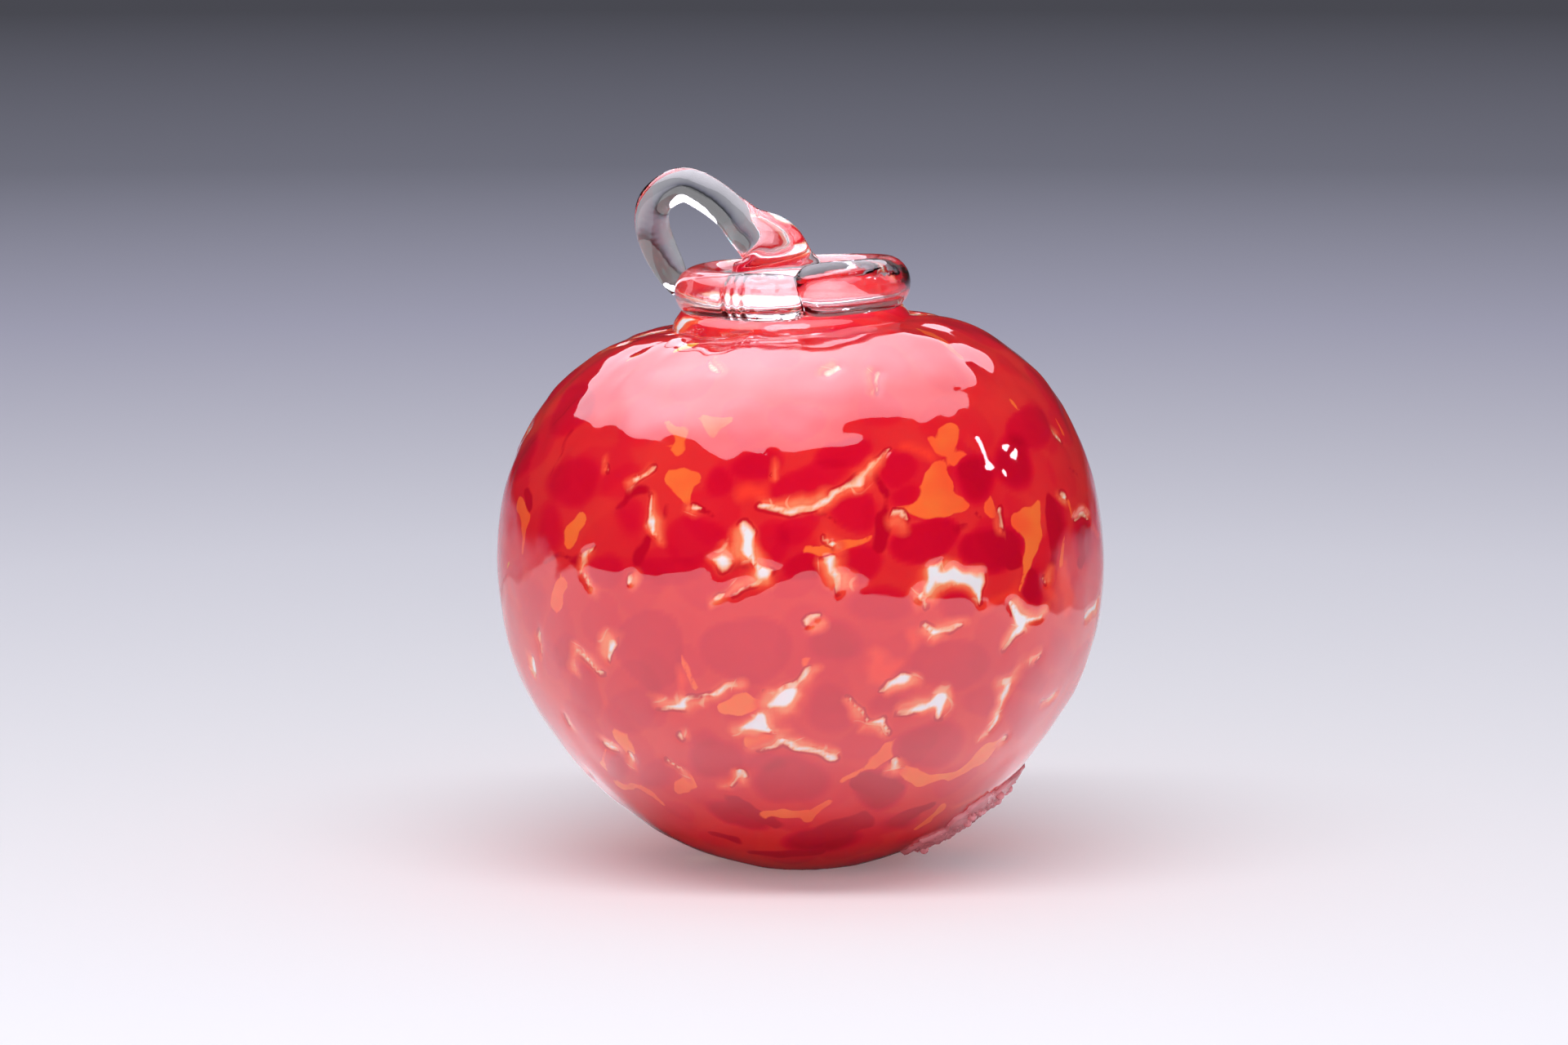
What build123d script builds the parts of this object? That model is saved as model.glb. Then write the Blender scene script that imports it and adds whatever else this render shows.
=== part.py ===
# Art glass apple: a hollow white ball coated with coloured chips, with a clear collar,
# a clear rod wound round the neck, a plug and a looped stem. Millimetres, Z up, the resting face at Z = 0.

import math
import os

from build123d import *

# Ball
BALL_DIAMETER = 80.0
BALL_CENTRE_HEIGHT = 38.7
BALL_LEAN = 4.0
UPPER_SIDE_ARC = 1.30
UPPER_SIDE_SWEEP = 7.0
SHOULDER_ARC = 0.89
SHOULDER_SWEEP = 26.0
CROWN_ARC = 0.60
CROWN_SWEEP = 54.0
LOWER_SIDE_ARC = 0.925
LOWER_SIDE_SWEEP = 32.0
FLANK_ARC = 1.27
FLANK_SWEEP = 18.0
COAT_THICKNESS = 0.8
WALL_THICKNESS = 3.0

# Neck and collar, in the neck's own frame
NECK_OFFSET = -1.2
NECK_LEAN = 1.6
NECK_DIAMETER = 18.2
NECK_BORE = 13.0
NECK_HEIGHT = 3.6
COLLAR_HEIGHT = 2.6
COLLAR_EDGE = 0.35
COLLAR_FOOT_FLARE = 0.1
COLLAR_TOP_STEP = 1.7

# Wound rod round the neck
WRAP_DIAMETER = 31.4
WRAP_CLEARANCE = 0.4
WRAP_TALL = 6.4
WRAP_START_HEIGHT = 3.55
WRAP_RISE = 0.3
WRAP_START_ANGLE = -87.0
WRAP_GAP_ANGLE = 4.0
WRAP_SECTIONS = 13

# Plug and stem
SEAL_DEPTH = 3.0
SEAL_HEIGHT = 6.8
STEM_ROOT_WIDTH = 11.0
STEM_ROOT_DEPTH = 9.0
STEM_ROOT_SHIFT = -2.2
STEM_ROOT_TILT = 16.0
STEM_TAIL_CLEARANCE = 0.05
# Each row: across, back and up from the neck's foot, then the glass's width in the loop's plane and its depth
STEM_BENDS = (
    (-2.9, 0.1, 9.3, 8.6, 7.6),
    (-5.5, 0.5, 11.5, 6.0, 6.0),
    (-7.6, 0.9, 13.6, 4.9, 5.2),
    (-10.7, 1.6, 16.0, 4.8, 4.9),
    (-13.9, 2.8, 17.2, 4.6, 4.6),
    (-17.3, 4.0, 15.2, 4.5, 4.5),
    (-18.0, 5.0, 12.0, 4.6, 4.7),
    (-17.1, 6.1, 8.5, 4.6, 4.7),
    (-15.9, 7.3, 4.9, 3.8, 3.8),
    (-15.6, 7.6, 2.4, 1.6, 1.6),
)

# Windows and chips in the coat: azimuth from the front, height angle, size and turn
WINDOW_WAIST = 0.4
WINDOWS = (
    (-30, 18, 3.4, 20),
    (-11, 13, 3.0, 75),
    (5, 6, 3.2, 10),
    (32, 3, 3.4, 80),
    (46, -12, 3.6, 30),
    (-42, -8, 3.0, 65),
    (-64, -18, 3.2, 5),
    (-21, -15, 3.4, 25),
    (3, -30, 3.2, 60),
    (25, -22, 3.4, 0),
    (0, 22, 2.8, 100),
    (78, 21, 2.8, 55),
)
CHIP_CLEARANCE = 0.05
CHIP_SLENDERNESS = 0.62
ORANGE_CHIPS = (
    (33, 23, 4.4, 30),
    (52, 8, 3.4, 95),
    (-24, 29, 2.8, 60),
    (-22, 41, 3.0, 25),
    (-56, 13, 2.6, 80),
    (16, -2, 3.0, 120),
    (-9, -25, 2.8, 90),
    (31, -38, 3.6, 10),
    (-44, -28, 2.8, 65),
    (-34, -42, 3.0, 140),
    (53, 50, 3.0, 110),
    (88, -20, 3.0, 35),
)
YELLOW_CHIPS = (
    (-34, 50, 2.4, 20),
    (-66, 27, 1.8, 70),
)

# Rough mark where the working iron was broken off
MARK_AZIMUTH = 76.0
MARK_FROM_BOTTOM = 30.0
MARK_RADIUS = 10.5
MARK_THICKNESS = 1.3
MARK_POINTS = 11
MARK_RAGGEDNESS = 0.16

BALL_RADIUS = BALL_DIAMETER / 2


def ball_outline(inset):
    """Edges of the half outline from the crown to the lowest point, moved inwards."""
    start = (BALL_RADIUS - inset, 0)
    upper = (
        (UPPER_SIDE_ARC, UPPER_SIDE_SWEEP),
        (SHOULDER_ARC, SHOULDER_SWEEP),
        (CROWN_ARC, CROWN_SWEEP),
    )
    lower = (
        (LOWER_SIDE_ARC, LOWER_SIDE_SWEEP),
        (FLANK_ARC, FLANK_SWEEP),
    )
    rising = []
    point = Vector(*start)
    heading = Vector(0, 1)
    for share, sweep in upper:
        arc = JernArc(point, heading, share * BALL_RADIUS - inset, sweep)
        rising.append(arc)
        point = arc @ 1
        heading = arc % 1
    crown_end = point + heading * (point.X - NECK_BORE / 2) / abs(heading.X)
    rising.append(Line(point, crown_end))
    falling = []
    point = Vector(*start)
    heading = Vector(0, -1)
    turned = 0
    for share, sweep in lower:
        arc = JernArc(point, heading, share * BALL_RADIUS - inset, -sweep)
        falling.append(arc)
        point = arc @ 1
        heading = arc % 1
        turned = turned + sweep
    bottom_radius = point.X / math.cos(math.radians(turned))
    falling.append(JernArc(point, heading, bottom_radius, turned - 90))
    lowest = falling[-1] @ 1
    return rising + falling, crown_end, lowest


def ball_layer(outer_inset, inner_inset):
    """Solid of revolution between two parallel outlines of the ball, about its own centre."""
    outer_edges, outer_crown, outer_lowest = ball_outline(outer_inset)
    inner_edges, inner_crown, inner_lowest = ball_outline(inner_inset)
    closing = [Line(outer_crown, inner_crown), Line(outer_lowest, inner_lowest)]
    face = make_face(outer_edges + inner_edges + closing)
    return revolve(Plane.XZ * face, Axis.Z)


def solid_of(shape):
    """The largest solid of a shape."""
    return max(shape.solids(), key=lambda piece: piece.volume)


def oval(width, depth):
    """Rounded section of four arcs, so that a run of them joins without a twist."""
    quarters = []
    for quarter in range(4):
        bends = [math.radians(90 * quarter + part) for part in (0, 45, 90)]
        points = [(width / 2 * math.cos(bend), depth / 2 * math.sin(bend)) for bend in bends]
        quarters.append(ThreePointArc(*points))
    return make_face(quarters)


ball_place = Pos(0, 0, BALL_CENTRE_HEIGHT) * Rot(0, -BALL_LEAN, 0)
crown_local = ball_outline(0)[1]
neck_place = Pos(NECK_OFFSET, 0, BALL_CENTRE_HEIGHT + crown_local.Y) * Rot(0, -NECK_LEAN, 0)
SPAN = 3 * BALL_DIAMETER
table = Pos(0, 0, -SPAN / 2) * Box(SPAN, SPAN, SPAN)


def tube(outer_diameter, inner_diameter, bottom, top):
    """Upright round tube in the neck's frame."""
    middle = (bottom + top) / 2
    outer = Cylinder(outer_diameter / 2, top - bottom)
    inner = Cylinder(inner_diameter / 2, top - bottom)
    return neck_place * Pos(0, 0, middle) * (outer - inner)


# White core with its neck, ground flat to stand on
neck_root = -COAT_THICKNESS - WALL_THICKNESS / 2
neck_tube = tube(NECK_DIAMETER, NECK_BORE, neck_root, NECK_HEIGHT)
neck_hole = neck_place * Cylinder(NECK_BORE / 2, 4 * (COAT_THICKNESS + WALL_THICKNESS))
ball = ball_place * ball_layer(COAT_THICKNESS, COAT_THICKNESS + WALL_THICKNESS)
core_bubble = solid_of((ball - neck_hole) + neck_tube - table)

# Coat of chips, still whole
neck_clear = neck_place * Cylinder(NECK_DIAMETER / 2, 4 * (COAT_THICKNESS + WALL_THICKNESS))
whole_coat = solid_of(ball_place * ball_layer(0, COAT_THICKNESS) - neck_clear - table)


def facing(azimuth, height, turn):
    """Place just under the ball's surface, facing outwards."""
    side = math.radians(azimuth)
    rise = math.radians(height)
    outward = Vector(
        math.sin(side) * math.cos(rise),
        -math.cos(side) * math.cos(rise),
        math.sin(rise),
    )
    level = Vector(math.cos(side), math.sin(side), 0)
    plane = Plane(outward * BALL_RADIUS * 0.8, x_dir=level, z_dir=outward)
    return ball_place * plane.location * Rot(0, 0, turn)


def pointed_prism(azimuth, height, turn, reaches):
    """Straight-sided prism through the coat, from the reach along and across of each corner in turn."""
    corners = []
    for number, (along, across) in enumerate(reaches):
        bend = 2 * math.pi * number / len(reaches)
        corners.append((along * math.cos(bend), across * math.sin(bend)))
    outline = make_face(Polyline(*corners, close=True))
    return facing(azimuth, height, turn) * extrude(outline, BALL_RADIUS * 0.4)


def window_prism(azimuth, height, size, turn):
    """Three-cornered gap with hollow sides, as left between round chips."""
    waist = size * WINDOW_WAIST
    return pointed_prism(azimuth, height, turn, 3 * [(size, size), (waist, waist)])


def chip_prism(azimuth, height, size, turn, clearance):
    """Six-sided long chip, drawn in by a clearance."""
    reach = (size - clearance, size * CHIP_SLENDERNESS - clearance)
    return pointed_prism(azimuth, height, turn, 6 * [reach])


def both_sides(rows):
    """The rows for the front, and the same rows again for the back."""
    return list(rows) + [(azimuth + 180, height, size, turn) for azimuth, height, size, turn in rows]


windows = [window_prism(*row) for row in both_sides(WINDOWS)]
orange_seats = [chip_prism(*row, 0) for row in both_sides(ORANGE_CHIPS)]
yellow_seats = [chip_prism(*row, 0) for row in both_sides(YELLOW_CHIPS)]
red_frit_coat = solid_of(whole_coat - windows - orange_seats - yellow_seats)


def chips(rows):
    """Separate chips that fill their seats in the coat."""
    pieces = [solid_of(whole_coat & chip_prism(*row, CHIP_CLEARANCE)) for row in both_sides(rows)]
    return Compound(children=pieces)


orange_frit = chips(ORANGE_CHIPS)
yellow_frit = chips(YELLOW_CHIPS)

# Rod wound once round the neck, with rounded ends that meet at the front
wrap_turn = 360 - WRAP_GAP_ANGLE
wrap_depth = (WRAP_DIAMETER - NECK_DIAMETER) / 2 - WRAP_CLEARANCE
wrap_sections = []
for step in range(WRAP_SECTIONS):
    share = step / (WRAP_SECTIONS - 1)
    angle = math.radians(WRAP_START_ANGLE - wrap_turn * share)
    level = WRAP_START_HEIGHT + WRAP_RISE * share
    middle = (WRAP_DIAMETER - wrap_depth) / 2
    outward = Vector(math.cos(angle), math.sin(angle), 0)
    along = Vector(math.sin(angle), -math.cos(angle), 0)
    plane = Plane(outward * middle + Vector(0, 0, level), x_dir=outward, z_dir=along)
    wrap_sections.append(plane * Ellipse(wrap_depth / 2, WRAP_TALL / 2))
lip_wrap = solid_of(neck_place * loft(wrap_sections))

# Skirt of clear glass between the ball's shoulder and the wound rod
skirt_drop = COAT_THICKNESS + WALL_THICKNESS / 2
collar_foot = WRAP_DIAMETER / 2 + COLLAR_FOOT_FLARE
collar_top = WRAP_DIAMETER / 2 - COLLAR_TOP_STEP
skirt_outline = Polyline(
    (0, -skirt_drop),
    (collar_foot, -skirt_drop),
    (collar_foot, COLLAR_EDGE - COAT_THICKNESS),
    (collar_top, COLLAR_HEIGHT),
    (0, COLLAR_HEIGHT),
    close=True,
)
skirt = neck_place * revolve(Plane.XZ * make_face(skirt_outline), Axis.Z)
neck_collar = solid_of(skirt - core_bubble - whole_coat - neck_hole - lip_wrap)

# Plug in the neck that rises to the stem's root
plug = neck_place * Pos(0, 0, (NECK_HEIGHT - SEAL_DEPTH) / 2) * Cylinder(NECK_BORE / 2, NECK_HEIGHT + SEAL_DEPTH)
seal_foot = Pos(0, 0, NECK_HEIGHT) * oval(NECK_DIAMETER, NECK_DIAMETER)
stem_root = Pos(STEM_ROOT_SHIFT, 0, SEAL_HEIGHT) * Rot(0, -STEM_ROOT_TILT, 0)
seal_top = stem_root * oval(STEM_ROOT_WIDTH, STEM_ROOT_DEPTH)
mound = neck_place * loft([seal_foot, seal_top])
stem_seal = solid_of(plug + mound - core_bubble)

# Stem drawn out, bent over and brought down to the wound rod
root_row = (STEM_ROOT_SHIFT, 0, SEAL_HEIGHT, STEM_ROOT_WIDTH, STEM_ROOT_DEPTH)
stem_rows = (root_row,) + STEM_BENDS
stem_points = [Vector(row[0], row[1], row[2]) for row in stem_rows]
stem_sections = [seal_top]
for number in range(1, len(stem_rows)):
    after = stem_points[min(number + 1, len(stem_rows) - 1)]
    along = after - stem_points[number - 1]
    plane = Plane(stem_points[number], x_dir=Vector(0, 1, 0).cross(along), z_dir=along)
    stem_sections.append(plane * oval(stem_rows[number][3], stem_rows[number][4]))
wrap_top = WRAP_START_HEIGHT + WRAP_TALL / 2
wrap_girth = neck_place * Pos(0, 0, wrap_top / 2) * Cylinder(WRAP_DIAMETER / 2 + STEM_TAIL_CLEARANCE, wrap_top)
stem_loop = solid_of(neck_place * loft(stem_sections) - wrap_girth)

# Ragged patch of clear glass left by the working iron
mark_edge = []
for point in range(2 * MARK_POINTS):
    bend = math.pi * point / MARK_POINTS
    ragged = 1 + MARK_RAGGEDNESS * math.sin(2.3 * point) - MARK_RAGGEDNESS * (point % 2)
    mark_edge.append((MARK_RADIUS * ragged * math.cos(bend), MARK_RADIUS * ragged * math.sin(bend)))
mark_face = make_face(Polyline(*mark_edge, close=True))
mark_prism = facing(MARK_AZIMUTH, MARK_FROM_BOTTOM - 90, 0) * extrude(mark_face, BALL_RADIUS * 0.4)
mark_layer = ball_place * ball_layer(-MARK_THICKNESS, 0)
punty_mark = solid_of((mark_layer & mark_prism) - table)

nodes = {
    "core_bubble": core_bubble,
    "red_frit_coat": red_frit_coat,
    "orange_frit": orange_frit,
    "yellow_frit": yellow_frit,
    "neck_collar": neck_collar,
    "lip_wrap": lip_wrap,
    "stem_seal": stem_seal,
    "stem_loop": stem_loop,
    "punty_mark": punty_mark,
}
os.makedirs("parts", exist_ok=True)
for name, shape in nodes.items():
    export_step(shape, "parts/" + name + ".step")
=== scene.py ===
import math

import bpy
import numpy as np
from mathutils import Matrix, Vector


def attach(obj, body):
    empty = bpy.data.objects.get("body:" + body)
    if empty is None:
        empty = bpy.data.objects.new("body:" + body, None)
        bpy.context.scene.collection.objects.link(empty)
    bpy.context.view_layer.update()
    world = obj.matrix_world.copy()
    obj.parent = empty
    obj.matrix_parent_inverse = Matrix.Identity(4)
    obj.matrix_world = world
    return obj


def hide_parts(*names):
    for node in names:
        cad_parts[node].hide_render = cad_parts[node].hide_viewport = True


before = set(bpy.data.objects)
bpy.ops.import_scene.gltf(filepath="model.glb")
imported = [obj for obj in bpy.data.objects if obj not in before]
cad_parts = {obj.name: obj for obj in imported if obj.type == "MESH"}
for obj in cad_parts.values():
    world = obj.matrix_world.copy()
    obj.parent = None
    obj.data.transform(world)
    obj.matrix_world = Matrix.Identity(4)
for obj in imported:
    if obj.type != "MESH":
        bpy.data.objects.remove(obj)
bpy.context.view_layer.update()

MM = 0.001
rng = np.random.default_rng(7)

# Ball, in millimetres and degrees: the arcs are shares of the radius, from the equator up and down
BALL_RADIUS = 40.0
BALL_CENTRE = np.array([0.0, 0.0, 38.7])
BALL_LEAN = math.radians(4.0)
UPPER_ARCS = ((1.30, 7.0), (0.89, 26.0), (0.60, 54.0))
LOWER_ARCS = ((0.925, 32.0), (1.27, 18.0))
BALL_ROWS = 224
BALL_COLUMNS = 440

# Neck frame, in which the clear glass at the top is built
NECK_FOOT = np.array([-1.2, 0.0, 71.6])
NECK_LEAN = math.radians(1.6)

# Camera, worked out from the photograph's outline
PHOTO_SIZE = (1920, 1280)
TARGET = np.array([0.0, 0.0, 40.0])
TARGET_PIXEL = np.array([981.0, 680.0])
CAMERA_DISTANCE = 800.0
CAMERA_RISE = math.radians(8.0)
FOCAL_PIXELS = 7480.0
SENSOR_WIDTH = 36.0

# Stretch of a pixel's ray, before and behind the target, that is searched, and its steps
RAY_SPAN = 60.0
RAY_STEP = 0.05


def turned(points, angle):
    """Points turned about Y, the top towards -X."""
    x = points[..., 0] * math.cos(angle) - points[..., 2] * math.sin(angle)
    z = points[..., 0] * math.sin(angle) + points[..., 2] * math.cos(angle)
    return np.stack([x, points[..., 1], z], axis=-1)


def unit(vectors):
    """Vectors of length 1 in the same directions."""
    return vectors / np.linalg.norm(vectors, axis=-1)[..., None]


def full_turn(count):
    """So many angles spread round a full turn."""
    return np.linspace(0, 2 * math.pi, count, endpoint=False)


def around(reach, bends, height):
    """Points so far from the Z axis, at angles round it and at a height."""
    return np.stack(np.broadcast_arrays(reach * np.cos(bends), reach * np.sin(bends), height), axis=-1)


# Outline of the ball


def arc_run(arcs, sign):
    """Points along a chain of arcs that starts at the equator, and where the chain ends."""
    point = np.array([BALL_RADIUS, 0.0])
    bend = 0.0
    run = []
    for share, sweep in arcs:
        radius = share * BALL_RADIUS
        middle = point - radius * np.array([math.cos(bend), sign * math.sin(bend)])
        bends = bend + np.linspace(0, math.radians(sweep), 60)
        run.append(middle + radius * np.stack([np.cos(bends), sign * np.sin(bends)], axis=1))
        point = run[-1][-1]
        bend = bends[-1]
    return np.vstack(run), point, bend


def ball_outline():
    """Half outline as distance from the axis and height, from the lowest point to the crown."""
    upper, _, bend = arc_run(UPPER_ARCS, 1)
    crown = upper[-1] + upper[-1][0] * np.array([-1.0, 1 / math.tan(bend)])
    lower, point, bend = arc_run(LOWER_ARCS, -1)
    radius = point[0] / math.cos(bend)
    middle = point[1] + radius * math.sin(bend)
    bends = np.linspace(bend, math.pi / 2, 60)
    bowl = np.stack([radius * np.cos(bends), middle - radius * np.sin(bends)], axis=1)
    below = np.vstack([lower, bowl[1:]])[::-1]
    return np.vstack([below, upper[1:], crown])


OUTLINE = ball_outline()
OUTLINE_ANGLE = np.arctan2(OUTLINE[:, 1], OUTLINE[:, 0])
OUTLINE_REACH = np.hypot(OUTLINE[:, 0], OUTLINE[:, 1])


def reach_at(height):
    """Distance of the surface from the ball's centre at a height angle."""
    return np.interp(height, OUTLINE_ANGLE, OUTLINE_REACH)


# Photograph to ball

camera_back = np.array([0.0, -math.cos(CAMERA_RISE), math.sin(CAMERA_RISE)])
camera_up = np.array([0.0, math.sin(CAMERA_RISE), math.cos(CAMERA_RISE)])
camera_right = np.array([1.0, 0.0, 0.0])
camera_place = TARGET + CAMERA_DISTANCE * camera_back


def pixel_ray(pixel):
    """Direction from the camera through a pixel of the photograph."""
    across, down = (np.array(pixel, float) - TARGET_PIXEL) / FOCAL_PIXELS
    ray = across * camera_right - down * camera_up - camera_back
    return unit(ray)


def on_ball(pixel):
    """Direction from the ball's centre, in the ball's own frame, of the surface seen at a pixel."""
    ray = pixel_ray(pixel)
    steps = CAMERA_DISTANCE + np.arange(-RAY_SPAN, RAY_SPAN, RAY_STEP)
    path = turned(camera_place + steps[:, None] * ray - BALL_CENTRE, -BALL_LEAN)
    reach = np.linalg.norm(path, axis=1)
    outside = reach - reach_at(np.arcsin(path[:, 2] / reach))
    inside = np.flatnonzero(outside < 0)
    best = inside[0] if len(inside) else int(np.argmin(outside))
    return path[best] / reach[best]


# Colour of the chips: each stroke runs between two photo pixels, with a half width in millimetres at each

WINDOW_STROKES = (
    (792, 608, 0.1, 796, 634, 0.65), (796, 634, 0.65, 803, 657, 0.2),
    (775, 589, 0.35, 798, 573, 0.1), (849, 624, 0.3, 856, 629, 0.2),
    (924, 622, 0.35, 972, 627, 0.25), (972, 627, 0.25, 1010, 612, 0.4), (1010, 612, 0.35, 1052, 588, 0.2),
    (1052, 588, 0.2, 1066, 574, 0.15), (1066, 574, 0.15, 1088, 547, 0.2),
    (907, 637, 0.35, 915, 658, 0.85), (915, 658, 0.85, 914, 677, 0.7), (914, 677, 0.4, 930, 694, 0.4),
    (924, 705, 0.3, 936, 703, 0.8), (936, 703, 0.6, 949, 702, 0.1), (928, 712, 0.3, 900, 727, 0.1),
    (874, 735, 0.3, 884, 727, 0.35), (876, 682, 0.3, 886, 693, 0.6), (711, 684, 0.3, 727, 668, 0.1),
    (711, 695, 0.2, 721, 717, 0.4), (769, 710, 0.3, 772, 707, 0.2),
    (1009, 655, 0.1, 1019, 665, 0.4), (1014, 686, 0.55, 1019, 703, 0.6), (1019, 703, 0.6, 1028, 724, 0.3),
    (1098, 633, 0.3, 1114, 638, 0.25), (1138, 726, 0.35, 1142, 702, 0.8), (1142, 702, 0.6, 1155, 687, 0.1),
    (1146, 705, 0.8, 1172, 705, 0.8), (1172, 705, 0.8, 1200, 716, 0.9), (1200, 716, 0.9, 1208, 729, 0.5),
    (1160, 723, 0.1, 1182, 716, 0.2), (1129, 731, 0.3, 1133, 745, 0.1), (1129, 766, 0.2, 1147, 771, 0.4),
    (1147, 771, 0.35, 1177, 768, 0.15),
    (1243, 738, 0.35, 1254, 763, 0.8), (1254, 763, 0.75, 1279, 754, 0.15),
    (1254, 770, 0.6, 1249, 778, 0.5), (1249, 778, 0.5, 1231, 800, 0.1), (1283, 702, 0.25, 1284, 709, 0.3),
    (1229, 622, 0.15, 1230, 650, 0.25), (1318, 634, 0.2, 1335, 632, 0.3), (1300, 603, 0.15, 1306, 605, 0.4),
    (1297, 531, 0.3, 1303, 537, 0.3), (1333, 752, 0.3, 1345, 741, 0.6), (990, 765, 0.3, 1004, 758, 0.2),
    (648, 806, 0.3, 651, 823, 0.7), (657, 775, 0.1, 657, 797, 0.15), (701, 795, 0.35, 701, 814, 0.35),
    (705, 797, 0.2, 730, 823, 0.25), (752, 783, 0.6, 742, 804, 0.3), (687, 879, 0.2, 694, 891, 0.45),
    (736, 913, 0.5, 752, 920, 0.15), (771, 925, 0.4, 776, 938, 0.2), (814, 935, 0.1, 832, 947, 0.35),
    (833, 902, 0.3, 835, 908, 0.2), (807, 866, 0.15, 832, 866, 0.65), (832, 862, 0.4, 868, 849, 0.1),
    (872, 851, 0.3, 898, 844, 0.35), (941, 866, 0.4, 958, 860, 1.3), (958, 860, 1.3, 974, 846, 0.4),
    (941, 847, 0.1, 972, 838, 0.15), (979, 836, 0.3, 990, 824, 0.35), (906, 894, 0.35, 928, 886, 1.1),
    (928, 886, 1.1, 953, 902, 0.2), (929, 921, 0.1, 961, 912, 0.4), (961, 912, 0.4, 1002, 926, 0.3),
    (1002, 927, 0.3, 1016, 929, 0.55), (893, 965, 0.15, 907, 948, 0.3), (907, 948, 0.3, 914, 956, 0.35),
    (1076, 846, 0.15, 1092, 836, 0.3), (1092, 836, 0.35, 1111, 830, 0.7), (1043, 857, 0.2, 1052, 870, 0.15),
    (1052, 870, 0.15, 1063, 884, 0.15), (1063, 886, 0.15, 1082, 884, 0.45),
    (1082, 884, 0.45, 1090, 897, 0.25),
    (1104, 875, 0.2, 1128, 868, 0.4), (1128, 868, 0.4, 1152, 862, 1.0), (1152, 862, 1.0, 1151, 882, 0.35),
    (1230, 836, 0.4, 1249, 828, 0.35), (1249, 828, 0.35, 1272, 803, 0.15), (1234, 841, 0.5, 1226, 871, 0.2),
    (1222, 876, 0.6, 1210, 899, 0.25), (1231, 904, 0.3, 1236, 905, 0.2), (1280, 858, 0.15, 1294, 851, 0.2),
    (1096, 932, 0.45, 1101, 945, 0.3), (1101, 945, 0.3, 1105, 944, 0.3), (716, 942, 0.2, 719, 949, 0.15),
    (868, 440, 0.12, 876, 455, 0.1), (1012, 458, 0.1, 1026, 445, 0.22), (1072, 480, 0.08, 1076, 450, 0.1),
    (946, 556, 0.1, 940, 575, 0.3), (748, 565, 0.1, 746, 580, 0.2),
)
ORANGE_STROKES = (
    (822, 583, 1.0, 848, 588, 0.9), (834, 590, 1.3, 841, 616, 0.6), (862, 514, 0.8, 884, 516, 0.7),
    (868, 518, 0.9, 872, 530, 0.4), (818, 516, 0.4, 835, 534, 0.7), (835, 534, 0.7, 832, 553, 0.7),
    (706, 639, 1.0, 695, 656, 1.5), (632, 618, 0.9, 643, 638, 1.0), (643, 638, 0.8, 636, 672, 0.4),
    (637, 560, 0.3, 652, 545, 0.3), (688, 713, 0.8, 681, 738, 1.4), (972, 690, 0.2, 990, 676, 0.5),
    (990, 676, 0.5, 1024, 670, 0.8), (1024, 670, 0.7, 1067, 658, 0.2), (1163, 528, 1.3, 1157, 546, 0.9),
    (1141, 534, 0.5, 1152, 548, 0.7), (1164, 562, 0.7, 1181, 556, 1.1), (1149, 573, 1.1, 1149, 592, 1.8),
    (1149, 592, 1.8, 1146, 611, 2.6), (1138, 615, 1.8, 1103, 632, 0.4), (1158, 612, 1.8, 1183, 612, 0.7),
    (1132, 622, 1.1, 1162, 623, 1.2), (1214, 608, 0.6, 1217, 624, 1.1),
    (1272, 616, 0.5, 1264, 642, 1.9), (1264, 642, 1.9, 1267, 668, 1.2),
    (1267, 668, 1.2, 1260, 698, 0.5), (1249, 640, 0.9, 1262, 642, 1.6), (1303, 655, 0.4, 1300, 692, 0.6),
    (1256, 690, 0.3, 1254, 726, 0.3), (1311, 612, 0.5, 1315, 632, 0.3), (1238, 486, 0.5, 1249, 498, 0.2),
    (1296, 514, 0.2, 1304, 527, 0.4), (1071, 742, 0.5, 1086, 741, 0.4), (1078, 744, 0.9, 1079, 764, 0.1),
    (762, 903, 1.0, 768, 919, 1.1), (737, 920, 0.2, 741, 941, 0.3), (741, 941, 0.3, 756, 963, 0.4),
    (752, 961, 0.4, 789, 971, 0.7), (789, 971, 0.7, 808, 987, 0.4), (828, 967, 0.9, 844, 956, 0.8),
    (837, 809, 0.4, 853, 842, 0.3), (889, 870, 1.0, 915, 862, 1.0), (915, 862, 0.9, 938, 857, 0.1),
    (924, 910, 1.2, 937, 906, 1.3), (986, 826, 0.2, 988, 806, 0.3), (938, 1001, 1.0, 986, 997, 0.8),
    (1032, 959, 0.3, 1063, 940, 0.7), (1063, 940, 0.7, 1087, 920, 1.3), (1087, 920, 1.3, 1104, 905, 0.7),
    (1112, 941, 1.0, 1128, 957, 1.1), (1128, 957, 1.1, 1165, 952, 0.8), (1165, 953, 0.8, 1205, 928, 1.4),
    (1205, 928, 1.4, 1230, 906, 0.6), (988, 1006, 1.1, 1015, 983, 0.5), (1124, 1016, 0.5, 1155, 994, 0.9),
    (1122, 398, 0.3, 1140, 408, 0.8), (1150, 412, 0.8, 1178, 436, 0.5), (770, 440, 0.5, 782, 432, 0.3),
    (815, 548, 0.3, 832, 553, 0.6),
)
EMBER_STROKES = (
    (910, 603, 0.9, 926, 603, 0.9), (1108, 551, 0.4, 1140, 556, 0.8), (1304, 700, 1.3, 1310, 742, 1.1),
    (1245, 724, 0.7, 1208, 742, 0.4), (1118, 775, 0.6, 1122, 786, 0.8), (1128, 722, 0.3, 1130, 708, 0.5),
    (1075, 800, 0.9, 1082, 824, 1.5), (1082, 820, 1.2, 1104, 812, 0.4), (832, 846, 0.7, 836, 832, 0.8),
    (1172, 990, 0.4, 1216, 970, 0.5), (1285, 715, 0.8, 1292, 735, 1.0), (1340, 640, 0.5, 1346, 655, 0.4),
)
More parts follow.
